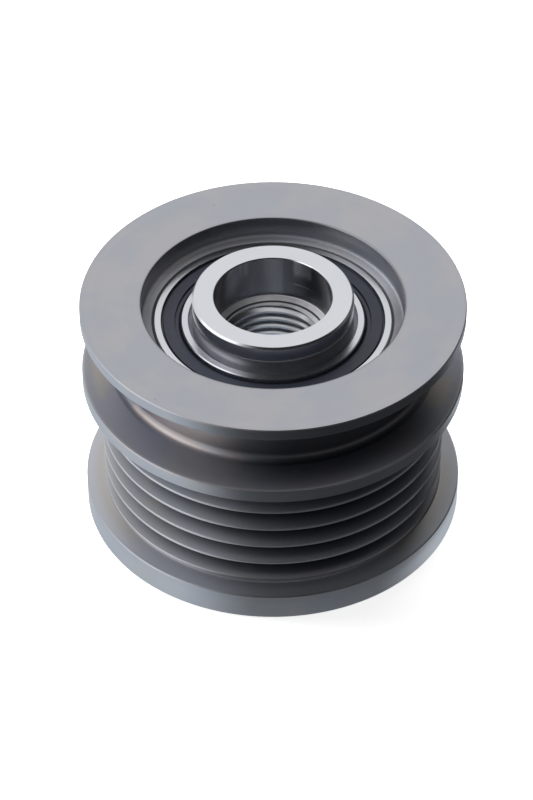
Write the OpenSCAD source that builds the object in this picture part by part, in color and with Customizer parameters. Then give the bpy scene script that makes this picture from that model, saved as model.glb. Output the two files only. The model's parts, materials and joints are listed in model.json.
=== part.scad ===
// Overrunning belt pulley for an alternator: a V groove above five rib grooves,
// two sealed ball bearings and a roller clutch on a threaded hub.
// Lengths are in millimetres. The spin axis is Z and the bottom rim stands on Z = 0.

/* [Rims] */
// Height of the top rim
top_rim_h = 1.9; // [1.2:0.1:4]
// Height of the middle rim
mid_rim_h = 2.1; // [1.2:0.1:4]
// Height of the bottom rim
bottom_rim_h = 4.45; // [2.5:0.05:8]
// Lean of the two rim faces beside the ribs, in degrees
rim_lean = 11; // [0:1:18]
// Bevel on the rim edges
edge_bevel = 0.15; // [0.05:0.05:0.3]

/* [V groove] */
// Wall between the bearing seat and the floor of the V groove
v_wall = 5.8; // [4.5:0.1:9]
// Width of the V groove at the rims
v_width = 10.5; // [9:0.05:13]
// Depth of the V groove
v_depth = 5.5; // [4:0.1:6.5]
// Full angle of the V groove, in degrees
v_angle = 40; // [30:1:44]
// Fillet at the foot of each V flank
v_fillet = 1.3; // [0.5:0.1:1.8]

/* [Rib grooves] */
// Wall between the bearing seat and the roots of the rib grooves
rib_wall = 5.05; // [4:0.05:6]
// Number of rib grooves
rib_count = 5; // [4:1:8]
// Pitch of the rib grooves
rib_pitch = 3.56; // [3.3:0.01:3.8]
// Full angle of a rib groove, in degrees
rib_angle = 40; // [36:1:46]
// Width of a rib tip
rib_land = 0.4; // [0.3:0.05:0.7]
// Bevel on each edge of a rib tip
rib_bevel = 0.1; // [0.02:0.01:0.14]
// Radius at the root of a rib groove
rib_root_r = 0.5; // [0.3:0.05:0.6]
// Plain land between the middle rim and the first rib
upper_land = 0.6; // [0.2:0.05:2]
// Plain land between the last rib and the bottom rim
lower_land = 0.15; // [0.1:0.05:2]

/* [End recesses] */
// Width of the ledge round the bearing at each end
ledge_w = 1.8; // [1:0.1:3]
// Depth of each recess, down to the bearing face
recess_depth = 3.6; // [2.2:0.1:4.2]
// Fillet at the foot of the recess wall
recess_fillet = 0.4; // [0.1:0.05:0.6]
// Bevel at the mouth of the recess
mouth_bevel = 0.12; // [0.05:0.01:0.3]
// Bevel where the bearing seat opens into the recess
seat_bevel = 0.3; // [0.1:0.05:0.5]

/* [Bearings] */
// Bore of a bearing, which is the hub's seat diameter
bearing_bore = 25; // [24:0.1:30]
// Radial height of a bearing's section, from its bore to its outer diameter
bearing_section = 6; // [5:0.1:7]
// Width of a bearing
bearing_w = 7; // [6.6:0.1:8]
// Diameter of a ball as a share of the section
ball_share = 0.583; // [0.53:0.001:0.6]
// Balls in one bearing
ball_count = 14; // [8:1:15]
// Raceway radius as a share of the ball diameter
race_share = 0.525; // [0.52:0.005:0.54]
// Depth of a raceway below its ring's shoulder
race_depth = 0.5; // [0.3:0.05:0.6]
// Bevel on the bore edge of the inner ring
bore_bevel = 0.65; // [0.2:0.05:0.8]
// Bevel on the outer edge of the outer ring
ring_bevel = 0.22; // [0.1:0.01:0.4]
// Radial width of the outer ring's face
ring_face_w = 1.15; // [1:0.05:1.25]
// Axial depth of the ledge that a seal sits on
seal_ledge = 1; // [0.9:0.05:1.1]
// Depth of a seal's flat face below the ring face
seal_inset = 0.25; // [0.1:0.05:0.35]
// Thickness of a seal's flat web
seal_t = 0.5; // [0.4:0.05:0.6]
// Radial width of the thin lip at a seal's inner edge
seal_lip_w = 0.85; // [0.6:0.05:1]
// Radial thickness of a ball cage
ball_cage_t = 1.5; // [1:0.1:1.7]

/* [Clutch] */
// Number of clutch rollers
roller_count = 8; // [4:1:8]
// Wall of the clutch outer ring
clutch_wall = 1.9; // [1.6:0.1:2]
// Wall of the cam ring under a roller
cam_wall = 1.04; // [0.8:0.02:1.4]
// Rise of one cam ramp over its whole length
ramp_rise = 0.5; // [0.2:0.05:0.7]
// Place of a roller along its ramp, as a share of the ramp
roller_share = 0.55; // [0.5:0.01:0.6]
// Width of a bar between two cage windows, in degrees
cage_bar = 13; // [8:1:16]
// Height of the ring at each end of the clutch cage
cage_end_h = 1.6; // [1:0.1:2.5]
// Thickness of the spring strip
spring_t = 0.2; // [0.1:0.05:0.25]
// Height of a spring strip along the axis
spring_h = 6; // [3:0.5:8]

/* [Hub] */
// Height of the hub nose above the top rim
nose_proud = 1; // [0:0.1:4]
// Radial step from the bearing seat down to the hub nose
nose_step = 0.025; // [0.025:0.025:0.5]
// Height of the nose band above the bearing seat diameter
nose_band = 2.5; // [1.4:0.1:3.4]
// Bevel on the outer edge of the nose
nose_bevel = 0.3; // [0.05:0.05:0.5]
// Diameter of the pilot bore
pilot_d = 18.2; // [17.2:0.1:19]
// Depth of the pilot bore
pilot_depth = 7.4; // [4:0.1:10]
// Full angle of the cone below the pilot bore, in degrees
pilot_cone = 120; // [90:5:140]
// Major diameter of the shaft thread
thread_d = 16; // [15:0.5:16.5]
// Depth of the hub's lower end inside the bottom face
hub_inset = 1.6; // [0.5:0.1:2.4]
// Teeth in the tool socket
socket_teeth = 33; // [24:1:40]
// Diameter over the socket's tooth roots
socket_root_d = 20; // [19:0.1:20.4]
// Height of a socket tooth
socket_tooth_h = 1.4; // [0.8:0.05:1.5]
// Depth of the tool socket
socket_depth = 11; // [7:0.5:13]
// Width of the relief groove behind the socket
relief_w = 1.6; // [1:0.1:2.5]
// Bevel on the lower outer edge of the hub
hub_foot_bevel = 0.5; // [0.2:0.1:1]

/* [Fits] */
// Radial gap of a pressed seat
press_gap = 0.01; // [0.005:0.005:0.02]
// Gap between a rolling piece and its track
roll_gap = 0.03; // [0.01:0.01:0.05]
// Gap between a seal lip and the inner ring
lip_gap = 0.05; // [0.02:0.01:0.1]
// Gap between a ball and its cage pocket
pocket_gap = 0.06; // [0.04:0.01:0.1]
// Gap beside a moving piece that nothing bears on
free_gap = 0.3; // [0.2:0.05:0.4]

/* [Hidden] */
$fn = 128;

// Steps in the arcs that round a turned profile
arc_steps = 8;
// Overlap of a cutting tool past the face that it cuts
over = 1;

// Bearing rings, measured from the ball circle
hub_r = bearing_bore / 2;
bearing_r = hub_r + bearing_section;
half_w = bearing_w / 2;
ball_r = ball_share * bearing_section / 2;
ball_circle = (hub_r + bearing_r) / 2;
race_r = 2 * race_share * ball_r;
race_reach = ball_r + roll_gap;
inner_shoulder = ball_circle - race_reach + race_depth;
outer_shoulder = ball_circle + race_reach - race_depth;
seal_mouth = bearing_r - ring_face_w;
seal_groove = seal_mouth + 0.15;
lip_r = inner_shoulder + lip_gap;
lip_outer = lip_r + seal_lip_w;
flat_outer = seal_mouth - 0.45;

// Section of a rib groove
rib_half_a = rib_angle / 2;
rib_mouth = rib_pitch - rib_land;
rib_sharp_depth = rib_mouth / 2 / tan(rib_half_a);
rib_depth = rib_sharp_depth - rib_root_r / sin(rib_half_a) + rib_root_r;

// Radii of the rims and ribs, and heights from the bottom rim up
rim_r = bearing_r + v_wall + v_depth;
tip_r = bearing_r + rib_wall + rib_depth;
rib_root_mid = tip_r - rib_depth + rib_root_r;
lean_h = (rim_r - tip_r) * tan(rim_lean);
last_tip_z = bottom_rim_h + lean_h + lower_land;
first_tip_z = last_tip_z + rib_count * rib_pitch + rib_land;
mid_rim_z = first_tip_z + upper_land + lean_h;
v_low_z = mid_rim_z + mid_rim_h;
v_high_z = v_low_z + v_width;
pulley_h = v_high_z + top_rim_h;

// V groove
v_floor_r = rim_r - v_depth;
v_mid_z = (v_low_z + v_high_z) / 2;
v_half_a = v_angle / 2;
v_fillet_r = v_floor_r + v_fillet;
v_fillet_z = v_low_z + (v_fillet - (v_fillet_r - rim_r) * sin(v_half_a)) / cos(v_half_a);

// End recesses and the bore that holds the bearings
recess_r = bearing_r + ledge_w;
seat_r = bearing_r + press_gap;
ledge_z = pulley_h - recess_depth;

// Places of the two bearings along the axis, and the clutch space between them
rear_z = ledge_z - half_w;
front_z = recess_depth + half_w;
clutch_low = front_z + half_w + press_gap;
clutch_high = rear_z - half_w - press_gap;
clutch_h = clutch_high - clutch_low;

// Roller clutch
clutch_r = bearing_r - clutch_wall;
cam_seat_r = hub_r + cam_wall;
roller_r = (clutch_r - cam_seat_r) / 2 - roll_gap;
roller_circle = (clutch_r + cam_seat_r) / 2;
sector = 360 / roller_count;
cage_in_r = cam_r(0.9) + free_gap / 2;
cage_out_r = clutch_r - free_gap;
cage_low = clutch_low + free_gap;
cage_h = clutch_h - 2 * free_gap;
window_low = cage_low + cage_end_h;
window_h = cage_h - 2 * cage_end_h;
roller_low = window_low + pocket_gap;
roller_h = window_h - 2 * pocket_gap;
roller_a = roller_share * sector;

// Hub
hub_low = hub_inset;
hub_high = pulley_h + nose_proud;
nose_r = hub_r - nose_step;
band_z = hub_high - nose_band;
pilot_r = pilot_d / 2;
pilot_low = hub_high - pilot_depth;
thread_r = thread_d / 2;
cone_h = abs(pilot_r - thread_r) / tan(pilot_cone / 2);
thread_high = pilot_low - cone_h;
socket_r = socket_root_d / 2;
socket_tip_r = socket_r - socket_tooth_h;
socket_high = hub_low + socket_depth;
relief_r = socket_r + 0.2;
relief_high = socket_high + relief_w;
thread_low = relief_high + relief_r - thread_r;

// Radius of the cam ring at share t of one ramp
function cam_r(t) = cam_seat_r + ramp_rise * (t - roller_share);

// Points of an arc about [x, y], from angle a0 to angle a1
function arc(x, y, r, a0, a1, n = arc_steps) =
    [for (i = [0:n]) let (a = a0 + (a1 - a0) * i / n) [x + r * cos(a), y + r * sin(a)]];

// Turned section of one rib groove, from its upper edge down
function rib_groove(z) =
    let (s = tan(rib_half_a), h = rib_mouth / 2)
    concat(
        [[tip_r, z + h + rib_bevel], [tip_r - rib_bevel, z + h - rib_bevel * s]],
        arc(rib_root_mid, z, rib_root_r, 90 + rib_half_a, 270 - rib_half_a),
        [[tip_r - rib_bevel, z - h + rib_bevel * s], [tip_r, z - h - rib_bevel]]
    );

// Turned section of the recess at the top end, from the bearing seat outwards
function recess_section() = concat(
    [[seat_r, ledge_z - seat_bevel], [seat_r + seat_bevel, ledge_z]],
    arc(recess_r - recess_fillet, ledge_z + recess_fillet, recess_fillet, 270, 360),
    [[recess_r, pulley_h - mouth_bevel], [recess_r + mouth_bevel, pulley_h]]
);

// The same section for the bottom end, from the mouth inwards
function foot_section() =
    let (top = recess_section(), n = len(top))
    [for (i = [n - 1:-1:0]) [top[i][0], pulley_h - top[i][1]]];

// Turned section of the V groove, from the top rim down
function v_section() =
    let (s = tan(v_half_a), b = edge_bevel)
    concat(
        [[rim_r, v_high_z + b], [rim_r - b, v_high_z - b * s]],
        arc(v_fillet_r, 2 * v_mid_z - v_fillet_z, v_fillet, 90 + v_half_a, 180),
        arc(v_fillet_r, v_fillet_z, v_fillet, 180, 270 - v_half_a),
        [[rim_r - b, v_low_z + b * s], [rim_r, v_low_z - b]]
    );

// Turned section of the ribs and of the rim faces beside them
function ribs_section() =
    let (s = tan(rim_lean), b = edge_bevel, mid = first_tip_z - rib_land - rib_mouth / 2)
    concat(
        [[rim_r, mid_rim_z + b], [rim_r - b, mid_rim_z - b * s], [tip_r, mid_rim_z - lean_h]],
        [for (i = [0:rib_count - 1]) for (p = rib_groove(mid - i * rib_pitch)) p],
        [[tip_r, bottom_rim_h + lean_h], [rim_r - b, bottom_rim_h + b * s], [rim_r, bottom_rim_h - b]]
    );

module pulley() {
    color("#8e9196")
    rotate_extrude()
    polygon(concat(
        recess_section(),
        [[rim_r - edge_bevel, pulley_h], [rim_r, pulley_h - edge_bevel]],
        v_section(),
        ribs_section(),
        [[rim_r, edge_bevel], [rim_r - edge_bevel, 0]],
        foot_section()
    ));
}

// Star outline of the tool socket: teeth point inwards with narrow flats
module socket_outline() {
    step = 360 / socket_teeth;
    polygon([
        for (i = [0:socket_teeth - 1])
            for (c = [[-0.1, socket_r], [0.1, socket_r], [0.4, socket_tip_r], [0.6, socket_tip_r]])
                let (a = (i + c[0]) * step) [c[1] * cos(a), c[1] * sin(a)]
    ]);
}

module hub() {
    line_d = 0.06;
    line_h = 0.2;
    color("#c9ccd1")
    difference() {
        rotate_extrude()
        polygon([
            [thread_r, hub_low],
            [hub_r - hub_foot_bevel, hub_low],
            [hub_r, hub_low + hub_foot_bevel],
            [hub_r, band_z - line_h],
            [nose_r - line_d, band_z],
            [nose_r, band_z + line_h / 2],
            [nose_r, hub_high - nose_bevel],
            [nose_r - nose_bevel, hub_high],
            [pilot_r + mouth_bevel, hub_high],
            [pilot_r, hub_high - mouth_bevel],
            [pilot_r, pilot_low],
            [thread_r, thread_high],
            [thread_r, thread_low],
            [relief_r, relief_high],
            [relief_r, socket_high],
            [thread_r, socket_high]
        ]);
        translate([0, 0, hub_low - over])
            linear_extrude(socket_depth + over + relief_w / 2)
            socket_outline();
        translate([0, 0, hub_low - over])
            cylinder(h = socket_r - socket_tip_r + over, r1 = socket_r + over, r2 = socket_tip_r);
    }
}

module outer_ring() {
    side = outer_ring_side();
    color("#d4d6d9")
    rotate_extrude()
    difference() {
        polygon(concat(side, [for (p = reversed(side)) [p[0], -p[1]]]));
        translate([ball_circle + race_reach - race_r, 0])
            circle(r = race_r);
    }
}

// Upper half of the outer ring's section, from the shoulder out to the rim
function outer_ring_side() = [
    [outer_shoulder, half_w - seal_ledge],
    [seal_groove, half_w - seal_ledge],
    [seal_groove, half_w - seal_inset - 0.15],
    [seal_mouth, half_w - seal_inset],
    [seal_mouth, half_w],
    [bearing_r - ring_bevel, half_w],
    [bearing_r, half_w - ring_bevel]
];

function reversed(v) = [for (i = [len(v) - 1:-1:0]) v[i]];

module inner_ring() {
    in_r = hub_r + press_gap;
    edge = 0.15;
    color("#d4d6d9")
    rotate_extrude()
    difference() {
        polygon([
            [in_r, half_w - bore_bevel],
            [in_r + bore_bevel, half_w],
            [inner_shoulder - edge, half_w],
            [inner_shoulder, half_w - edge],
            [inner_shoulder, edge - half_w],
            [inner_shoulder - edge, -half_w],
            [in_r + bore_bevel, -half_w],
            [in_r, bore_bevel - half_w]
        ]);
        translate([ball_circle - race_reach + race_r, 0])
            circle(r = race_r);
    }
}

// A seal snapped into the outer ring; its bead, web and lip face up
module seal() {
    web_top = half_w - seal_inset;
    ledge = half_w - seal_ledge;
    color("#2d2e33")
    rotate_extrude()
    polygon([
        [seal_groove - press_gap, ledge],
        [seal_groove - press_gap, ledge + 0.35],
        [flat_outer + 0.08, ledge + 0.4],
        [flat_outer, web_top],
        [lip_outer + 0.08, web_top],
        [lip_outer, web_top - 0.35],
        [lip_r + 0.35, web_top - 0.4],
        [lip_r + 0.28, web_top - 0.3],
        [lip_r + 0.2, web_top - 0.4],
        [lip_r, web_top - 0.6],
        [lip_r, web_top - 0.85],
        [lip_outer, web_top - seal_t - 0.15],
        [lip_outer + 0.2, web_top - seal_t],
        [outer_shoulder - 0.3, web_top - seal_t],
        [outer_shoulder - 0.1, ledge]
    ]);
}

// Crown cage: a ring with a round pocket at each ball, open towards the top
module ball_cage() {
    color("#b89a5c")
    difference() {
        rotate_extrude()
        translate([ball_circle - ball_cage_t / 2, free_gap + seal_ledge - half_w])
            square([ball_cage_t, half_w - seal_ledge - free_gap + ball_r / 3]);
        for (i = [1:ball_count])
            ball_place(i) sphere(r = ball_r + pocket_gap);
    }
}

module ball_place(i) {
    rotate((i - 1) * 360 / ball_count)
        translate([ball_circle, 0, 0])
        children();
}

module ball(i) {
    color("#e4e6e8")
    ball_place(i) sphere(r = ball_r);
}

module clutch_outer_ring() {
    edge = 0.3;
    color("#a9adb2")
    rotate_extrude()
    polygon([
        [clutch_r + edge, clutch_low],
        [bearing_r, clutch_low],
        [bearing_r, clutch_high],
        [clutch_r + edge, clutch_high],
        [clutch_r, clutch_high - edge],
        [clutch_r, clutch_low + edge]
    ]);
}

// Cam ring: one rising ramp under each roller, then a short fall to the next
module clutch_cam_ring() {
    ramp_end = 0.9;
    steps = 9;
    color("#9a9ea4")
    translate([0, 0, clutch_low])
        linear_extrude(clutch_h)
        difference() {
            polygon([
                for (i = [0:roller_count - 1]) for (j = [0:steps])
                    let (t = ramp_end * j / steps, a = (i + t) * sector) [cam_r(t) * cos(a), cam_r(t) * sin(a)]
            ]);
            circle(r = hub_r + press_gap);
        }
}

module clutch_cage() {
    color("#4a4238")
    difference() {
        translate([0, 0, cage_low])
            cylinder(h = cage_h, r = cage_out_r);
        translate([0, 0, cage_low - over])
            cylinder(h = cage_h + 2 * over, r = cage_in_r);
        for (i = [0:roller_count - 1])
            rotate(i * sector + cage_bar / 2)
            translate([0, 0, window_low])
            linear_extrude(window_h)
            window_outline();
    }
}

// Wedge that cuts one window of the clutch cage
module window_outline() {
    reach = 2 * cage_out_r;
    span = sector - cage_bar;
    polygon([
        [0, 0],
        [reach, 0],
        [reach * cos(span / 2), reach * sin(span / 2)],
        [reach * cos(span), reach * sin(span)]
    ]);
}

module clutch_roller(i) {
    color("#e4e6e8")
    rotate((i - 1) * sector + roller_a)
        translate([roller_circle, 0, roller_low])
        cylinder(h = roller_h, r = roller_r);
}

// Folded strip spring between a cage bar and its roller
module clutch_spring(i) {
    folds = 6;
    low_a = cage_bar / 2;
    high_a = roller_a - asin(roller_r / roller_circle);
    half_span = roller_circle * (high_a - low_a) * PI / 360 - 0.08;
    swing = (cage_out_r - cage_in_r) / 2 - 0.35;
    path = [
        for (j = [0:folds])
            [half_span * (1 - 2 * j / folds), (j == 0 || j == folds) ? 0 : swing * (j % 2 == 0 ? 1 : -1)]
    ];
    color("#7d8288")
    rotate((i - 1) * sector + (low_a + high_a) / 2)
        translate([(cage_in_r + cage_out_r) / 2, 0, window_low + (window_h - spring_h) / 2])
        linear_extrude(spring_h)
        rotate(90)
        polygon(concat(
            [for (p = path) [p[0], p[1] + spring_t]],
            [for (p = reversed(path)) [p[0], p[1] - spring_t]]
        ));
}

// One bearing's pieces about its own middle; the seal named outer faces the open end
module bearing(name, outward) {
    outer_ring();
    inner_ring();
    ball_cage();
    face(outward) seal();
    face(-outward) seal();
    for (i = [1:ball_count])
        ball(i);
}

module face(side) {
    mirror([0, 0, side > 0 ? 0 : 1])
        children();
}

pulley();
hub();
translate([0, 0, rear_z])
    bearing("rear_bearing", 1);
translate([0, 0, front_z])
    bearing("front_bearing", -1);
clutch_outer_ring();
clutch_cam_ring();
clutch_cage();
for (i = [1:roller_count]) {
    clutch_roller(i);
    clutch_spring(i);
}
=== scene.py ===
"""Looks of the overrunning alternator pulley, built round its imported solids.

Lengths are in metres. Angles round the spin axis are in degrees, 0 at the front and growing to the right.
"""
import json
import math

import bmesh
import bpy
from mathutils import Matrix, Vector


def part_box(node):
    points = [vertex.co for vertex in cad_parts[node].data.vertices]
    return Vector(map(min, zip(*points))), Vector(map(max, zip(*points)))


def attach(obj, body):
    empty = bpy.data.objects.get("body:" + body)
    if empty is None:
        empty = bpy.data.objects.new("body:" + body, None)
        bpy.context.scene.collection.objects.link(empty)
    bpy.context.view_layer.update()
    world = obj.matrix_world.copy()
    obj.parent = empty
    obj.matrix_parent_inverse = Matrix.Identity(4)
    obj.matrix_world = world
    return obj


MM = 0.001

# Camera, as solved from the rings in the photograph
FOCAL_PX = 3232.67
FRAME_LONG_PX = 800
SENSOR_MM = 36.0
CAMERA_DISTANCE = 496.9 * MM
CAMERA_ELEVATION = 40.0
CAMERA_PITCH = 41.76
CAMERA_YAW = 0.15

# Radiance and tint of the white surroundings, as the steel mirrors them
MIRRORED_WHITE = 0.85
MIRRORED_TINT = (0.92, 0.99, 1.04, 1.0)
MIRRORED_DARK = 0.02
AMBIENT = 0.22

# The table as the steel mirrors it: distances in mm from the axis, angles in degrees, leans in degrees per mm
TABLE_NEAR = 32.0
TABLE_FAR = 80.0
TABLE_LEFT_EDGE, TABLE_LEFT_LEAN = -19.0, -0.38
TABLE_RIGHT_EDGE, TABLE_RIGHT_LEAN = 48.0, 1.2
TABLE_RIGHT_FAR = 14.0
TABLE_RIGHT_JUMP, TABLE_JUMP_REACH = 45.0, (-0.5, 2.5)
TABLE_EDGE_SOFT = 16.0
TABLE_DARK = 0.25
TABLE_DARK_FALL = 19.0
TABLE_TAIL, TABLE_TAIL_ANGLE = 0.07, 60.0

# The room as the steel mirrors it: turns in degrees, rises as the sine of the elevation
SWEEP_LEFT, SWEEP_RIGHT = (-130.0, -152.0), (138.0, 158.0)
LEFT_TURN, LEFT_LOW_RISE = (-25.0, -50.0), (0.72, 0.5)
LEFT_LEVEL, LEFT_LOW_EXTRA = 0.45, 0.5
LOW_BOX = ((-106.0, -62.0, 10.0), (0.3, 0.58, 0.06))
HIGH_BOX = ((-86.0, -56.0, 12.0), (0.5, 0.8, 0.08))
BOX_LEVEL = 1.7
FRONT_GLOW = ((-20.0, 150.0, 30.0), (0.10, 0.40, 0.08))
FRONT_LEVEL = 0.12
OVERHEAD_RISE, OVERHEAD_LEVEL = (0.86, 0.97), 0.8

# Floor, just under the bottom rim so that the two planes don't meet
FLOOR_HALF = 3.0
FLOOR_Z = -0.05 * MM
FLOOR_GREY = 0.8
FLOOR_LIFT, FLOOR_FAR_LIFT = 0.76, 0.2
FLOOR_FAR = (0.2, 0.8)

# Thread turns in the hub bore, under a countersink of 120 degrees
THREAD_RADIUS = 8.0 * MM
THREAD_LOW_Z, THREAD_HIGH_Z = 16.0 * MM, 32.45 * MM
THREAD_PITCH = 1.5 * MM
THREAD_DEPTH = 0.81 * MM
THREAD_CREST = 0.19 * MM
THREAD_STEPS = 120
FLANK_STEPS = 5
THREAD_SINK = 0.05 * MM
THREAD_GAP = 0.02 * MM
CONE_LOW_Z = 31.98 * MM
CONE_SLOPE = math.tan(math.radians(60))

# Zones of the pulley's tones, heat tints and painted shade among them. Two numbers: where the tone is off,
# then where it is full.
# Three numbers: low end, high end, and the soft edge outside them.
V_RIM_SIDE = (29.7 * MM, 29.2 * MM)
V_FOOT_SIDE = (24.6 * MM, 25.6 * MM)
V_HEIGHTS = (26.8 * MM, 37.0 * MM, 0.6 * MM)
V_FLOOR_HEIGHTS = (27.5 * MM, 37.0 * MM, 0.6 * MM)
V_FLOOR = (25.8 * MM, 25.4 * MM)
V_FLOOR_MIDDLE = (25.6 * MM, 24.9 * MM)
V_LOWER_FLANK = (32.2 * MM, 31.6 * MM)
V_INNER_FLANK = (28.8 * MM, 27.4 * MM)
RIBS_OUTSIDE = (27.2 * MM, 26.95 * MM)
RIBS_TOP = (25.6 * MM, 25.0 * MM)
RIB_ROOT_R, RIB_TIP_R = 24.2 * MM, 26.9 * MM
RIB_FLANKS = (26.85 * MM, 26.6 * MM)
RIB_TIPS = (26.5 * MM, 26.8 * MM)
SLOPE_RADII = (27.0 * MM, 29.6 * MM, 0.1 * MM)
SLOPE_TOP = (5.6 * MM, 5.2 * MM)
SLOPE_LOW = (4.2 * MM, 4.4 * MM)
SLOPE_FOOT = (29.0 * MM, 27.6 * MM)
RECESS_WALL = (20.7 * MM, 20.4 * MM)
RECESS_WALL_DROP = (3.3 * MM, 2.9 * MM)
LEDGE = (20.6 * MM, 20.25 * MM)
LEDGE_DROP = (3.3 * MM, 3.5 * MM)
SEAT_GAP = (18.82 * MM, 18.72 * MM)

# Angles of the same tones, in the same way; two pairs are the start and the end. Apart from the brown behind
# the V groove and the warm rib patches, these angles place painted shade.
V_FRONT_SHADE = ((-15.0, 15.0), (70.0, 52.0))
V_BEHIND = (120.0, 150.0)
V_FLOOR_RIGHT_SHADE = ((-22.0, 10.0), (120.0, 90.0))
V_FLOOR_LEFT_SHADE = ((-120.0, -90.0), (-38.0, -58.0))
RIBS_WARM = (5.0, -25.0)
RIBS_RIGHT_SHADE = ((-15.0, 35.0), (165.0, 120.0))
RIB_TIPS_SHADE_SPAN = (64.0, 84.0, 12.0)
SLOPE_RIGHT_SHADE = ((20.0, 55.0), (165.0, 120.0))

# Zones and angles of the hub's tones, with painted highlights and painted shade in the bore and the
# countersink
BELOW_BAND = (37.5 * MM, 37.3 * MM)
OUTSIDE = (10.5 * MM, 11.0 * MM)
PILOT_BORE = (9.22 * MM, 9.12 * MM)
PILOT_FOOT = (32.62 * MM, 32.72 * MM)
PILOT_UPPER = (36.2 * MM, 38.2 * MM)
SCRATCH_HEIGHTS = (35.28 * MM, 35.36 * MM, 0.04 * MM)
CONE_HEIGHTS = (31.52 * MM, 32.62 * MM, 0.05 * MM)
CONE_SKIN = (0.10 * MM, 0.06 * MM)
CONE_FOOT_SHADE = (8.02 * MM, 8.24 * MM, 0.06 * MM)
CONE_MOUTH_HIGHLIGHT = (8.92 * MM, 8.98 * MM)
BORE_HIGHLIGHT = (142.0, 156.0, 6.0)
BORE_LEFT_HIGHLIGHT = (-152.0, -146.0, 5.0)
SCRATCH_GLINT_SPAN = (138.0, 156.0, 6.0)
MOUTH_HIGHLIGHT_SPAN = (130.0, 168.0, 20.0)

# Heat tints, with the spans of angle they lie on: low, high, soft edge
STRAW = (0.50, 0.44, 0.34, 1.0)
VIOLET = (0.35, 0.35, 0.43, 1.0)
BROWN = (0.38, 0.33, 0.30, 1.0)
ROSE = (0.60, 0.50, 0.47, 1.0)
WARM_RIB = (0.56, 0.51, 0.44, 1.0)
WARM_SLOPE = (0.54, 0.49, 0.42, 1.0)
STRAW_SPANS = ((-96.0, -76.0, 10.0), (62.0, 76.0, 8.0))
VIOLET_SPANS = ((-60.0, -40.0, 14.0), (84.0, 98.0, 8.0))
BROWN_SPAN = (-36.0, -20.0, 12.0)
ROSE_SPAN = (-45.0, -24.0, 8.0)
WARM_SLOPE_SPANS = ((-90.0, -60.0, 20.0), (50.0, 90.0, 15.0))

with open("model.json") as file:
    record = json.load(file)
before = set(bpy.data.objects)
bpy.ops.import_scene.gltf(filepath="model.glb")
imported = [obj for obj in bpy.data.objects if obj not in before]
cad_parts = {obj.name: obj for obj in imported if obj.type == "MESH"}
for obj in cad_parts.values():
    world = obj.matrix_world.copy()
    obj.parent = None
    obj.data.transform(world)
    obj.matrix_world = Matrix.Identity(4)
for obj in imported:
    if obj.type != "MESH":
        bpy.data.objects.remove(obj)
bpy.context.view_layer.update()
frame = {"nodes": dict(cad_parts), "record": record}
nodes = frame["nodes"]
top_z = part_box("pulley")[1].z


def grey(level, blue=0.0, warm=0.0):
    """An opaque colour near a grey level."""
    return (level + warm, level, level + blue, 1.0)


class Nodes:
    """Short calls for the shader nodes that this script uses, on one emptied node tree."""

    def __init__(self, owner):
        owner.use_nodes = True
        self.tree = owner.node_tree
        self.tree.nodes.clear()

    def add(self, kind, inputs=None, **settings):
        """Adds a node, sets its properties, and sets or links its inputs."""
        made = self.tree.nodes.new(kind)
        for key, value in settings.items():
            setattr(made, key, value)
        for key, value in (inputs or {}).items():
            self.feed(made.inputs[key], value)
        return made

    def feed(self, socket, value):
        """Links a socket to another one, or sets its value."""
        if isinstance(value, bpy.types.NodeSocket):
            self.tree.links.new(value, socket)
        else:
            socket.default_value = value

    def math(self, operation, a, b=0.0, c=0.0, clamp=False):
        """The result of one math node."""
        return self.add("ShaderNodeMath", {0: a, 1: b, 2: c}, operation=operation, use_clamp=clamp).outputs[0]

    def times(self, first, *factors):
        """The product of several sockets or numbers."""
        for factor in factors:
            first = self.math("MULTIPLY", first, factor)
        return first

    def plus(self, first, *terms):
        """The sum of several sockets or numbers."""
        for term in terms:
            first = self.math("ADD", first, term)
        return first

    def minus(self, a, b):
        """The difference of two sockets or numbers."""
        return self.math("SUBTRACT", a, b)

    def most(self, first, *others):
        """The largest of several sockets or numbers."""
        for other in others:
            first = self.math("MAXIMUM", first, other)
        return first

    def scaled(self, value, factor, offset):
        """The value times a factor, plus an offset."""
        return self.math("MULTIPLY_ADD", value, factor, offset)

    def ramp(self, value, low, high, at_low=0.0, at_high=1.0, kind="LINEAR"):
        """Maps low..high to at_low..at_high, and stays at the ends outside it."""
        limits = {"Value": value, "From Min": low, "From Max": high, "To Min": at_low, "To Max": at_high}
        return self.add("ShaderNodeMapRange", limits, interpolation_type=kind).outputs["Result"]

    def smooth(self, value, low, high):
        """0 below low, 1 above high, smooth between; high may lie under low."""
        return self.ramp(value, low, high, kind="SMOOTHSTEP")

    def window(self, value, low, high, soft):
        """1 between low and high, with soft edges outside them."""
        return self.times(self.smooth(value, low - soft, low), self.smooth(value, high + soft, high))

    def between(self, value, start, end):
        """1 from the start to the end, each given as where the mask is off and where it is full."""
        return self.times(self.smooth(value, *start), self.smooth(value, *end))

    def spans(self, value, spans):
        """1 inside any of the spans, each with its low end, high end and soft edge."""
        return self.most(*(self.window(value, *span) for span in spans))

    def turned(self, place):
        """Radius, height and angle of a place round the spin axis."""
        x, y, z = self.add("ShaderNodeSeparateXYZ", {0: place}).outputs
        radius = self.math("SQRT", self.plus(self.times(x, x), self.times(y, y)))
        angle = self.math("ARCTAN2", x, self.times(y, -1.0))
        return radius, z, self.times(angle, 180 / math.pi)


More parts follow.
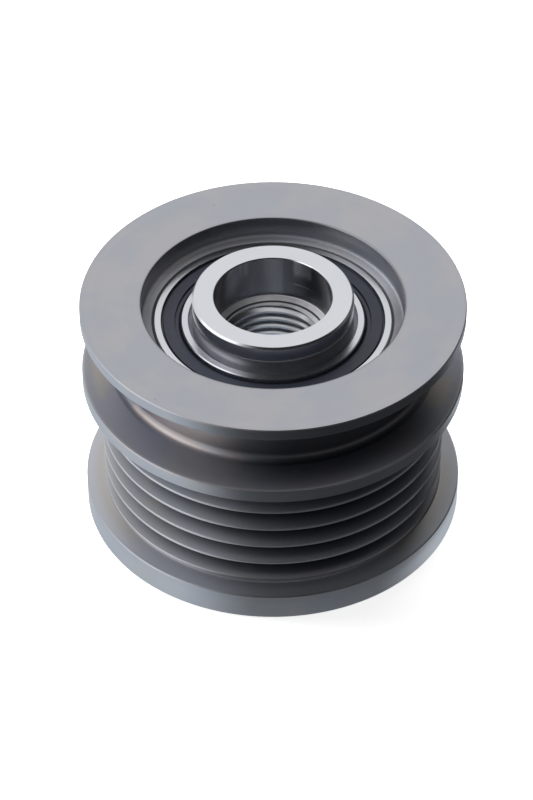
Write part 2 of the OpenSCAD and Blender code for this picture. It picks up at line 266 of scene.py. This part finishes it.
class Paint(Nodes):
    """A new material: its principled shader, and the object's own coordinates, plain and turned."""

    def __init__(self, name):
        self.material = bpy.data.materials.new(name)
        super().__init__(self.material)
        self.shader = self.add("ShaderNodeBsdfPrincipled")
        self.add("ShaderNodeOutputMaterial", {"Surface": self.shader.outputs["BSDF"]})
        self.place = self.add("ShaderNodeTexCoord").outputs["Object"]
        self.radius, self.z, self.angle = self.turned(self.place)

    def mix(self, factor, a, b, blend="MIX"):
        """The colour between a and b."""
        made = self.add("ShaderNodeMix", data_type="RGBA", blend_type=blend)
        for index, value in ((0, factor), (6, a), (7, b)):
            self.feed(made.inputs[index], value)
        return made.outputs[2]

    def shade(self, where, colour, tone):
        """The colour, multiplied by a tone where the mask is on."""
        return self.mix(where, colour, self.mix(1.0, colour, tone, "MULTIPLY"))

    def noise(self, scale, detail=3.0, roughness=0.5, at=None):
        """Noise in the object's coordinates, or at another vector."""
        inputs = {"Vector": at or self.place, "Scale": scale, "Detail": detail, "Roughness": roughness}
        return self.add("ShaderNodeTexNoise", inputs).outputs["Fac"]

    def lathe_lines(self, scale, detail=3.0):
        """Noise that varies across the tool marks only, so it draws rings round the axis."""
        across = self.add("ShaderNodeCombineXYZ", {0: self.radius, 1: self.z, 2: 0.0}).outputs[0]
        return self.noise(scale, detail, 0.6, across)

    def put(self, **inputs):
        """Sets or links the shader's inputs, named with underscores for spaces."""
        for name, value in inputs.items():
            self.feed(self.shader.inputs[name.replace("_", " ")], value)

    def bump(self, height, strength, distance):
        """Bumps the shader's normal by a height."""
        made = self.add("ShaderNodeBump", {"Height": height, "Strength": strength, "Distance": distance})
        self.put(Normal=made.outputs["Normal"])


def v_groove_tone(paint, base, drifted):
    """Dull oxide in the V groove, with straw, brown, violet and rose tints that drift round it, and painted
    shade from its front round to the right and on its floor at both sides.
    """
    sides = paint.between(paint.radius, V_RIM_SIDE, V_FOOT_SIDE)
    in_groove = paint.times(sides, paint.window(paint.z, *V_HEIGHTS))
    # Painted shade: the groove is darker from the front round to the right.
    front = paint.between(paint.angle, *V_FRONT_SHADE)
    lower = paint.smooth(paint.z, *V_LOWER_FLANK)
    inner = paint.smooth(paint.radius, *V_INNER_FLANK)
    behind = paint.smooth(paint.math("ABSOLUTE", drifted), *V_BEHIND)
    brown = paint.most(paint.window(drifted, *BROWN_SPAN), behind)

    tinted = paint.mix(1.0, base, grey(0.70, 0.02), "MULTIPLY")
    tinted = paint.shade(front, tinted, grey(0.82, 0.03))
    tinted = paint.mix(paint.times(brown, lower, 0.35), tinted, BROWN)
    tinted = paint.mix(paint.times(paint.spans(drifted, VIOLET_SPANS), lower, 0.5), tinted, VIOLET)
    tinted = paint.mix(paint.times(paint.spans(drifted, STRAW_SPANS), inner, 0.4), tinted, STRAW)
    base = paint.mix(in_groove, base, tinted)

    heights = paint.window(paint.z, *V_FLOOR_HEIGHTS)
    # Painted shade on the groove floor, on the right and on the left.
    floor_shade_mask = paint.times(paint.smooth(paint.radius, *V_FLOOR), heights)
    for span, amount in ((V_FLOOR_RIGHT_SHADE, 1.0), (V_FLOOR_LEFT_SHADE, 0.8)):
        where = paint.times(floor_shade_mask, paint.between(paint.angle, *span), amount)
        base = paint.shade(where, base, grey(0.50, 0.02))
    middle = paint.times(paint.smooth(paint.radius, *V_FLOOR_MIDDLE), heights)
    return paint.mix(paint.times(middle, paint.window(drifted, *ROSE_SPAN), 0.6), base, ROSE)


def rib_tone(paint, base):
    """Rib grooves with painted shade, darker towards their roots, on the right and at the tips on the right;
    warm patches on the left.
    """
    in_ribs = paint.times(paint.smooth(paint.radius, *RIBS_OUTSIDE), paint.smooth(paint.z, *RIBS_TOP))
    # Painted shade: the rib grooves darken from the tips down to the roots.
    root_to_tip_shade = paint.ramp(paint.radius, RIB_ROOT_R, RIB_TIP_R)
    rib = paint.mix(root_to_tip_shade, grey(0.22, 0.02), grey(0.60, 0.03))
    patches = paint.smooth(paint.noise(110.0), 0.52, 0.68)
    rib = paint.mix(paint.times(patches, paint.smooth(paint.angle, *RIBS_WARM), 0.35), rib, WARM_RIB)
    # Painted shade on the rib flanks at the right.
    right = paint.between(paint.angle, *RIBS_RIGHT_SHADE)
    rib = paint.shade(paint.times(right, paint.smooth(paint.radius, *RIB_FLANKS)), rib, grey(0.66, 0.03))
    # Painted shade on the rib tips at the right.
    tip_shade = paint.times(paint.window(paint.angle, *RIB_TIPS_SHADE_SPAN), paint.smooth(paint.radius, *RIB_TIPS))
    return paint.mix(in_ribs, base, paint.shade(tip_shade, rib, grey(0.60)))


def slope_tone(paint, base, drifted):
    """The slope over the bottom rim: warm patches near its foot, and painted shade on the right."""
    heights = paint.between(paint.z, SLOPE_TOP, SLOPE_LOW)
    on_slope = paint.times(paint.window(paint.radius, *SLOPE_RADII), heights)
    warm = paint.times(paint.spans(drifted, WARM_SLOPE_SPANS), paint.smooth(paint.radius, *SLOPE_FOOT), 0.5)
    slope = paint.mix(warm, grey(0.58, 0.045, -0.01), WARM_SLOPE)
    # Painted shade: the slope is darker on the right.
    right = paint.between(paint.angle, *SLOPE_RIGHT_SHADE)
    return paint.mix(on_slope, base, paint.shade(right, slope, grey(0.55)))


def recess_tone(paint, base):
    """Painted shade on the recess wall, and an oily gap round the bearing seat."""
    # Painted shade: the recess wall is darker than the rest.
    up_wall = paint.smooth(paint.z, *(top_z - drop for drop in RECESS_WALL_DROP))
    wall_shade_mask = paint.times(paint.smooth(paint.radius, *RECESS_WALL), up_wall)
    base = paint.shade(wall_shade_mask, base, grey(0.62))
    return paint.mix(paint.times(paint.smooth(paint.radius, *SEAT_GAP), 0.85), base, grey(0.03))


def pulley_steel():
    """Turned and oxidised grey steel: ring marks, faint mottle, and a tone in each zone: heat tints, and
    painted shade in the grooves, on the slope and on the recess wall.
    """
    paint = Paint("pulley_steel")
    marks = paint.lathe_lines(9000.0)
    broad = paint.lathe_lines(900.0)
    mottle = paint.smooth(paint.noise(120.0, 4.0, 0.6), 0.38, 0.62)
    base = paint.mix(mottle, grey(0.500, 0.052, -0.018), grey(0.528, 0.022, 0.002))
    base = paint.mix(paint.times(broad, 0.35), base, grey(0.445, 0.036))

    drifted = paint.plus(paint.angle, paint.scaled(paint.noise(90.0), 50.0, -25.0))
    base = v_groove_tone(paint, base, drifted)
    base = rib_tone(paint, base)
    base = slope_tone(paint, base, drifted)
    base = recess_tone(paint, base)
    specks = paint.smooth(paint.noise(900.0, 1.0), 0.80, 0.83)
    base = paint.mix(paint.times(specks, 0.5), base, grey(0.2))

    down_ledge = paint.smooth(paint.z, *(top_z - drop for drop in LEDGE_DROP))
    on_ledge = paint.times(paint.smooth(paint.radius, *LEDGE), down_ledge)
    rough = paint.ramp(broad, 0.0, 1.0, 0.30, 0.42)
    paint.put(Base_Color=base, Metallic=paint.scaled(on_ledge, -0.5, 1.0))
    paint.put(Roughness=paint.scaled(on_ledge, 0.25, rough))
    paint.bump(marks, 0.12, 0.02 * MM)
    return paint.material


def ground_steel(name, level, rough_low, rough_high):
    """Bright ground steel with fine ring marks: its paint, base colour and roughness."""
    paint = Paint(name)
    marks = paint.lathe_lines(14000.0)
    base = paint.mix(paint.noise(150.0), grey(level, 0.04, -0.02), grey(level * 1.06, 0.04, -0.02))
    rough = paint.ramp(marks, 0.0, 1.0, rough_low, rough_high)
    paint.put(Base_Color=base, Roughness=rough, Metallic=1.0)
    paint.bump(marks, 0.1, 0.01 * MM)
    return paint, base, rough


def pilot_bore_tone(paint):
    """The honed pilot bore: a dark grey of painted shade down the hole, faint streaks and rings, two painted
    highlights near its mouth, and one scratch painted white as a glint.
    """
    stretched = paint.add("ShaderNodeMapping", {"Vector": paint.place, "Scale": (1.0, 1.0, 0.1)}).outputs[0]
    streaks = paint.times(paint.smooth(paint.noise(330.0, 2.0, at=stretched), 0.42, 0.62), 0.15)
    # Painted highlights: two light patches high in the bore, at the back right and the back left.
    left = paint.times(paint.window(paint.angle, *BORE_LEFT_HIGHLIGHT), 0.4)
    patches = paint.most(paint.window(paint.angle, *BORE_HIGHLIGHT), left)
    bright = paint.most(streaks, paint.times(patches, paint.smooth(paint.z, *PILOT_UPPER)))
    # Painted shade and highlights: the bore's grey is far darker than the hub's, and lifts to white at the
    # patches.
    bore = paint.mix(bright, grey(0.30, 0.03), grey(1.0))
    bore = paint.shade(paint.smooth(paint.lathe_lines(1400.0, 2.0), 0.45, 0.35), bore, grey(0.8))
    # A scratch, painted white only over the angles where it catches the light: a painted glint.
    scratch = paint.times(paint.window(paint.z, *SCRATCH_HEIGHTS), paint.window(paint.angle, *SCRATCH_GLINT_SPAN))
    return paint.mix(scratch, bore, grey(1.0))


def cone_tone(paint):
    """The rougher countersink: a painted shadow line at its foot and a painted highlight along its mouth at
    the back right.
    """
    cone = paint.mix(paint.noise(700.0, 4.0), grey(0.58, 0.03), grey(0.95, 0.03))
    # Painted shadow: a dark line where the countersink meets the thread.
    cone = paint.mix(paint.window(paint.radius, *CONE_FOOT_SHADE), cone, grey(0.06))
    # Painted highlight: a white edge at the countersink's mouth, at the back right.
    mouth = paint.times(paint.smooth(paint.radius, *CONE_MOUTH_HIGHLIGHT), paint.window(paint.angle, *MOUTH_HIGHLIGHT_SPAN))
    return paint.mix(mouth, cone, grey(1.0))


def hub_steel():
    """Ground hub: bright nose, duller seat below the nose band, honed bore with painted shade and highlights,
    and rougher countersink with a painted shadow line and highlight.
    """
    paint, base, rough = ground_steel("hub_steel", 0.755, 0.16, 0.28)
    below_band = paint.times(paint.smooth(paint.z, *BELOW_BAND), paint.smooth(paint.radius, *OUTSIDE))
    in_bore = paint.times(paint.smooth(paint.radius, *PILOT_BORE), paint.smooth(paint.z, *PILOT_FOOT))
    cone_radius = paint.scaled(paint.z, CONE_SLOPE, THREAD_RADIUS - CONE_LOW_Z * CONE_SLOPE)
    off_cone = paint.math("ABSOLUTE", paint.minus(paint.radius, cone_radius))
    in_cone = paint.times(paint.smooth(off_cone, *CONE_SKIN), paint.window(paint.z, *CONE_HEIGHTS))

    base = paint.mix(in_bore, base, pilot_bore_tone(paint))
    base = paint.mix(in_cone, base, cone_tone(paint))
    seat = paint.mix(paint.noise(500.0), grey(0.40, 0.03), grey(0.56, 0.03))
    base = paint.mix(below_band, base, seat)
    rough = paint.scaled(in_cone, 0.15, paint.scaled(below_band, 0.12, rough))
    paint.put(Base_Color=base, Roughness=rough, Metallic=paint.scaled(in_cone, -0.5, 1.0))
    return paint.material


def seal_rubber():
    """Moulded black nitrile with a faint dusty bloom."""
    paint = Paint("seal_rubber")
    bloom = paint.mix(paint.noise(400.0, 4.0), (0.006, 0.008, 0.014, 1.0), (0.012, 0.015, 0.026, 1.0))
    paint.put(Base_Color=bloom, Roughness=0.5, Specular_IOR_Level=0.95, Specular_Tint=(0.86, 0.91, 1.0, 1.0))
    paint.bump(paint.noise(6000.0, 2.0), 0.15, 0.03 * MM)
    return paint.material


def mottled(name, low, high, roughness, metallic=0.0):
    """A plain material with a little mottle."""
    paint = Paint(name)
    mottle = paint.noise(500.0)
    paint.put(Base_Color=paint.mix(mottle, low, high), Roughness=roughness, Metallic=metallic)
    paint.bump(mottle, 0.1, 0.03 * MM)
    return paint.material


def dress_nodes(materials):
    """Gives every solid the material of its slot."""
    for part in frame["record"]["subparts"]:
        piece = nodes[part["node"]]
        piece.data.materials.clear()
        piece.data.materials.append(materials[part["material_slot"]])


def thread_profile():
    """One ridge of the thread across its width, as heights from 0 to 1 and lifts along the axis."""
    half_root = (THREAD_PITCH - THREAD_GAP) / 2
    corners = [(0.0, -half_root), (1.0, -THREAD_CREST), (1.0, THREAD_CREST), (0.0, half_root)]
    profile = [corners[0]]
    for (h0, l0), (h1, l1) in zip(corners, corners[1:]):
        for k in range(1, FLANK_STEPS + 1):
            profile.append((h0 + (h1 - h0) * k / FLANK_STEPS, l0 + (l1 - l0) * k / FLANK_STEPS))
    return profile


def thread_radius(height, z):
    """Radius of the ridge at a height of 0 to 1, with its root and its upper end sunk into the hub."""
    ridge = THREAD_RADIUS + THREAD_SINK - height * (THREAD_DEPTH + THREAD_SINK)
    over = z - CONE_LOW_Z
    countersink = THREAD_RADIUS + over * CONE_SLOPE + min(THREAD_SINK, max(0.0, over))
    return max(ridge, countersink)


def thread_turns(material):
    """The inward ridge of the shaft thread: one helical strip, cut off by the countersink above it."""
    profile = thread_profile()
    steps = int((THREAD_HIGH_Z - THREAD_LOW_Z) / THREAD_PITCH * THREAD_STEPS)
    mesh = bmesh.new()
    rings = []
    for i in range(steps + 1):
        angle = math.pi + 2 * math.pi * i / THREAD_STEPS
        grown = min(1.0, i / THREAD_STEPS * 2)
        ring = []
        for height, lift in profile:
            z = THREAD_LOW_Z + THREAD_PITCH * i / THREAD_STEPS + lift
            r = thread_radius(height * grown, z)
            ring.append(mesh.verts.new((r * math.cos(angle), r * math.sin(angle), z)))
        rings.append(ring)
    for a, b in zip(rings, rings[1:]):
        for j in range(len(profile) - 1):
            mesh.faces.new((a[j], a[j + 1], b[j + 1], b[j]))
    bmesh.ops.recalc_face_normals(mesh, faces=mesh.faces)
    data = bpy.data.meshes.new("shaft_thread_turns")
    mesh.to_mesh(data)
    mesh.free()
    piece = bpy.data.objects.new("shaft_thread_turns", data)
    bpy.context.scene.collection.objects.link(piece)
    data.materials.append(material)
    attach(piece, "hub")


def table_tone(maker, radius, turn):
    """The table's tone in the steel: pale on the left and behind, dark in front and on the right."""
    reach = maker.math("MINIMUM", maker.times(radius, 1 / MM), TABLE_FAR)
    past_base = maker.minus(reach, TABLE_NEAR)
    past_left = maker.minus(turn, maker.scaled(past_base, TABLE_LEFT_LEAN, TABLE_LEFT_EDGE))
    far = maker.most(maker.minus(past_base, TABLE_RIGHT_FAR), 0.0)
    jump = maker.scaled(maker.smooth(past_base, *TABLE_JUMP_REACH), TABLE_RIGHT_JUMP, TABLE_RIGHT_EDGE)
    past_right = maker.minus(turn, maker.scaled(far, TABLE_RIGHT_LEAN, jump))
    from_left = maker.smooth(past_left, TABLE_EDGE_SOFT, -TABLE_EDGE_SOFT)
    light = maker.most(from_left, maker.smooth(past_right, -TABLE_EDGE_SOFT, TABLE_EDGE_SOFT))
    fall = maker.math("EXPONENT", maker.math("DIVIDE", past_base, -TABLE_DARK_FALL))
    dark = maker.math("MULTIPLY", fall, TABLE_DARK, clamp=True)
    dark = maker.plus(dark, maker.times(maker.smooth(past_left, TABLE_TAIL_ANGLE, 0.0), TABLE_TAIL))
    tone = maker.plus(maker.times(light, maker.minus(1.0, dark)), dark)
    return maker.times(tone, MIRRORED_WHITE)


def make_floor():
    """A pale floor that shows white and keeps a shadow, with its own tone for the steel to mirror."""
    data = bpy.data.meshes.new("floor")
    signs = ((-1, -1), (1, -1), (1, 1), (-1, 1))
    data.from_pydata([(x * FLOOR_HALF, y * FLOOR_HALF, FLOOR_Z) for x, y in signs], [], [(0, 1, 2, 3)])
    floor = bpy.data.objects.new("floor", data)
    bpy.context.scene.collection.objects.link(floor)
    material = bpy.data.materials.new("floor")
    maker = Nodes(material)
    path = maker.add("ShaderNodeLightPath")
    place = maker.add("ShaderNodeTexCoord").outputs["Object"]
    radius, _, turn = maker.turned(place)
    pale = maker.add("ShaderNodeBsdfDiffuse", {"Color": grey(FLOOR_GREY)}).outputs[0]
    shown = maker.most(path.outputs["Is Camera Ray"], path.outputs["Is Transmission Ray"])
    level = maker.scaled(maker.smooth(radius, *FLOOR_FAR), FLOOR_FAR_LIFT, FLOOR_LIFT)
    lift = maker.add("ShaderNodeEmission", {"Color": grey(1.0), "Strength": maker.times(shown, level)})
    lifted = maker.add("ShaderNodeAddShader", {0: pale, 1: lift.outputs[0]}).outputs[0]
    tone = table_tone(maker, radius, turn)
    mirrored = maker.add("ShaderNodeEmission", {"Color": MIRRORED_TINT, "Strength": tone}).outputs[0]
    surface = maker.add("ShaderNodeMixShader", {0: path.outputs["Is Glossy Ray"], 1: lifted, 2: mirrored})
    maker.add("ShaderNodeOutputMaterial", {"Surface": surface.outputs[0]})
    data.materials.append(material)


def room_tone(maker):
    """The room as the steel mirrors it: a sweep behind, a softbox at the left, and a dark front."""
    way = maker.add("ShaderNodeTexCoord").outputs["Generated"]
    _, rise, turn = maker.turned(way)
    sweep = maker.most(maker.smooth(turn, *SWEEP_LEFT), maker.smooth(turn, *SWEEP_RIGHT))
    left_level = maker.scaled(maker.smooth(rise, *LEFT_LOW_RISE), LEFT_LOW_EXTRA, LEFT_LEVEL)
    left = maker.times(maker.smooth(turn, *LEFT_TURN), left_level)
    low_box, high_box, glow = (
        maker.times(maker.window(turn, *turns), maker.window(rise, *rises))
        for turns, rises in (LOW_BOX, HIGH_BOX, FRONT_GLOW)
    )
    box = maker.times(maker.most(low_box, high_box), BOX_LEVEL)
    front = maker.times(glow, FRONT_LEVEL)
    overhead = maker.times(maker.smooth(rise, *OVERHEAD_RISE), OVERHEAD_LEVEL)
    light = maker.most(left, sweep, overhead, box, front)
    return maker.scaled(light, (1.0 - MIRRORED_DARK) * MIRRORED_WHITE, MIRRORED_DARK)


def make_world():
    """White for the camera, the room's tone for reflections, and dim grey light for the rest."""
    world = bpy.data.worlds.new("studio")
    bpy.context.scene.world = world
    maker = Nodes(world)
    path = maker.add("ShaderNodeLightPath")
    glossy = path.outputs["Is Glossy Ray"]
    shown = maker.most(path.outputs["Is Camera Ray"], path.outputs["Is Transmission Ray"])
    rest = maker.times(maker.minus(1.0, maker.most(shown, glossy)), AMBIENT)
    strength = maker.plus(shown, maker.times(glossy, room_tone(maker)), rest)
    back = maker.add("ShaderNodeBackground", {"Color": grey(1.0), "Strength": strength})
    maker.add("ShaderNodeOutputWorld", {"Surface": back.outputs[0]})


def softbox(name, place, size, power, aim=(0, 0, 0.02)):
    """A rectangular area lamp that looks at a point and isn't mirrored."""
    lamp = bpy.data.lights.new(name, "AREA")
    lamp.shape = "RECTANGLE"
    lamp.size, lamp.size_y = size
    lamp.energy = power
    made = bpy.data.objects.new(name, lamp)
    made.location = place
    made.rotation_mode = "QUATERNION"
    made.rotation_quaternion = (Vector(aim) - Vector(place)).to_track_quat("-Z", "Y")
    made.visible_glossy = False
    bpy.context.scene.collection.objects.link(made)


def make_camera():
    """The camera at the photograph's angle, from the ring fit."""
    data = bpy.data.cameras.new("camera")
    data.sensor_width = SENSOR_MM
    data.lens = FOCAL_PX * SENSOR_MM / FRAME_LONG_PX
    data.clip_start, data.clip_end = 0.01, 20.0
    camera = bpy.data.objects.new("camera", data)
    rise, pitch, yaw = (math.radians(a) for a in (CAMERA_ELEVATION, CAMERA_PITCH, CAMERA_YAW))
    camera.location = (0.0, -CAMERA_DISTANCE * math.cos(rise), top_z + CAMERA_DISTANCE * math.sin(rise))
    look = Vector((-math.sin(yaw) * math.cos(pitch), math.cos(yaw) * math.cos(pitch), -math.sin(pitch)))
    camera.rotation_mode = "QUATERNION"
    camera.rotation_quaternion = look.to_track_quat("-Z", "Y")
    bpy.context.scene.collection.objects.link(camera)
    bpy.context.scene.camera = camera


slots = {
    "pulley_steel": pulley_steel(),
    "hub_steel": hub_steel(),
    "bearing_steel": ground_steel("bearing_steel", 0.72, 0.18, 0.30)[0].material,
    "ball_steel": ground_steel("ball_steel", 0.72, 0.05, 0.10)[0].material,
    "clutch_steel": ground_steel("clutch_steel", 0.50, 0.25, 0.35)[0].material,
    "spring_steel": ground_steel("spring_steel", 0.42, 0.25, 0.35)[0].material,
    "seal_rubber": seal_rubber(),
    "cage_brass": mottled("cage_brass", (0.50, 0.36, 0.15, 1.0), (0.60, 0.46, 0.22, 1.0), 0.4, metallic=1.0),
    "cage_plastic": mottled("cage_plastic", (0.06, 0.045, 0.03, 1.0), (0.09, 0.07, 0.05, 1.0), 0.5),
}
dress_nodes(slots)
thread_turns(slots["hub_steel"])
make_floor()
make_world()
make_camera()
softbox("key", (-0.5, 0.25, 0.42), (0.5, 0.5), 6.0)
softbox("overhead", (0.0, 0.45, 0.7), (0.7, 0.5), 5.0)
bpy.context.scene.view_settings.view_transform = "Standard"
